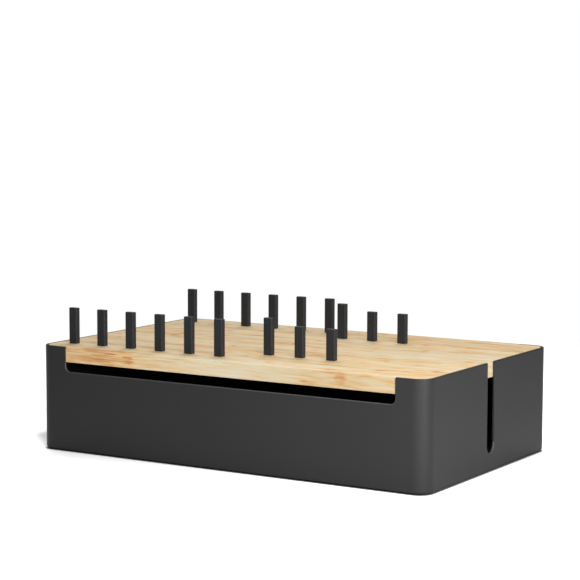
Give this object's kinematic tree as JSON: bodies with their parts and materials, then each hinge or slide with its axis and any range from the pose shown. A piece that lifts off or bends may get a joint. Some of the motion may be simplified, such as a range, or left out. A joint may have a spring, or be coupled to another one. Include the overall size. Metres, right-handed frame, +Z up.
{
  "type": "charging station organizer",
  "caption": "Low rounded plastic box with a flush wooden lid, lead gaps front and rear, a cord slot and rows of pull-out pegs that hold tablets and phones upright while they charge.",
  "frame": {"origin": "on the surface that the feet stand on, below the middle of the box", "axes": "+X along the box towards the end with the free part of the lid, +Z up, -Y is the front"},
  "size_m": [0.314, 0.191, 0.1019],
  "materials": {
    "box_plastic": "dark grey moulded plastic with a fine satin grain",
    "board_wood": "laminated bamboo strips, clear matt lacquer",
    "peg_plastic": "charcoal moulded plastic, smooth matt",
    "foot_rubber": "black soft rubber"
  },
  "bodies": {
    "box": {"shell": "box_plastic", "foot_1": "foot_rubber", "foot_2": "foot_rubber", "foot_3": "foot_rubber", "foot_4": "foot_rubber"},
    "lid": {"board": "board_wood"},
    "peg_front_1": {"peg_front_1": "peg_plastic"},
    "peg_front_2": {"peg_front_2": "peg_plastic"},
    "peg_front_3": {"peg_front_3": "peg_plastic"},
    "peg_front_4": {"peg_front_4": "peg_plastic"},
    "peg_front_5": {"peg_front_5": "peg_plastic"},
    "peg_front_6": {"peg_front_6": "peg_plastic"},
    "peg_front_7": {"peg_front_7": "peg_plastic"},
    "peg_front_8": {"peg_front_8": "peg_plastic"},
    "peg_front_9": {"peg_front_9": "peg_plastic"},
    "peg_rear_1": {"peg_rear_1": "peg_plastic"},
    "peg_rear_2": {"peg_rear_2": "peg_plastic"},
    "peg_rear_3": {"peg_rear_3": "peg_plastic"},
    "peg_rear_4": {"peg_rear_4": "peg_plastic"},
    "peg_rear_5": {"peg_rear_5": "peg_plastic"},
    "peg_rear_6": {"peg_rear_6": "peg_plastic"},
    "peg_rear_7": {"peg_rear_7": "peg_plastic"},
    "peg_rear_8": {"peg_rear_8": "peg_plastic"},
    "peg_rear_9": {"peg_rear_9": "peg_plastic"}
  },
  "joints": [
    {"name": "lid_lift", "type": "slide", "parent": "box", "child": "lid", "axis": [0, 0, 1], "range_m": [0, 0.06]},
    {"name": "peg_front_1_pull", "type": "slide", "parent": "lid", "child": "peg_front_1", "axis": [0, 0, 1], "range_m": [0, 0.012]},
    {"name": "peg_front_2_pull", "type": "slide", "parent": "lid", "child": "peg_front_2", "axis": [0, 0, 1], "range_m": [0, 0.012]},
    {"name": "peg_front_3_pull", "type": "slide", "parent": "lid", "child": "peg_front_3", "axis": [0, 0, 1], "range_m": [0, 0.012]},
    {"name": "peg_front_4_pull", "type": "slide", "parent": "lid", "child": "peg_front_4", "axis": [0, 0, 1], "range_m": [0, 0.012]},
    {"name": "peg_front_5_pull", "type": "slide", "parent": "lid", "child": "peg_front_5", "axis": [0, 0, 1], "range_m": [0, 0.012]},
    {"name": "peg_front_6_pull", "type": "slide", "parent": "lid", "child": "peg_front_6", "axis": [0, 0, 1], "range_m": [0, 0.012]},
    {"name": "peg_front_7_pull", "type": "slide", "parent": "lid", "child": "peg_front_7", "axis": [0, 0, 1], "range_m": [0, 0.012]},
    {"name": "peg_front_8_pull", "type": "slide", "parent": "lid", "child": "peg_front_8", "axis": [0, 0, 1], "range_m": [0, 0.012]},
    {"name": "peg_front_9_pull", "type": "slide", "parent": "lid", "child": "peg_front_9", "axis": [0, 0, 1], "range_m": [0, 0.012]},
    {"name": "peg_rear_1_pull", "type": "slide", "parent": "lid", "child": "peg_rear_1", "axis": [0, 0, 1], "range_m": [0, 0.012]},
    {"name": "peg_rear_2_pull", "type": "slide", "parent": "lid", "child": "peg_rear_2", "axis": [0, 0, 1], "range_m": [0, 0.012]},
    {"name": "peg_rear_3_pull", "type": "slide", "parent": "lid", "child": "peg_rear_3", "axis": [0, 0, 1], "range_m": [0, 0.012]},
    {"name": "peg_rear_4_pull", "type": "slide", "parent": "lid", "child": "peg_rear_4", "axis": [0, 0, 1], "range_m": [0, 0.012]},
    {"name": "peg_rear_5_pull", "type": "slide", "parent": "lid", "child": "peg_rear_5", "axis": [0, 0, 1], "range_m": [0, 0.012]},
    {"name": "peg_rear_6_pull", "type": "slide", "parent": "lid", "child": "peg_rear_6", "axis": [0, 0, 1], "range_m": [0, 0.012]},
    {"name": "peg_rear_7_pull", "type": "slide", "parent": "lid", "child": "peg_rear_7", "axis": [0, 0, 1], "range_m": [0, 0.012]},
    {"name": "peg_rear_8_pull", "type": "slide", "parent": "lid", "child": "peg_rear_8", "axis": [0, 0, 1], "range_m": [0, 0.012]},
    {"name": "peg_rear_9_pull", "type": "slide", "parent": "lid", "child": "peg_rear_9", "axis": [0, 0, 1], "range_m": [0, 0.012]}
  ]
}
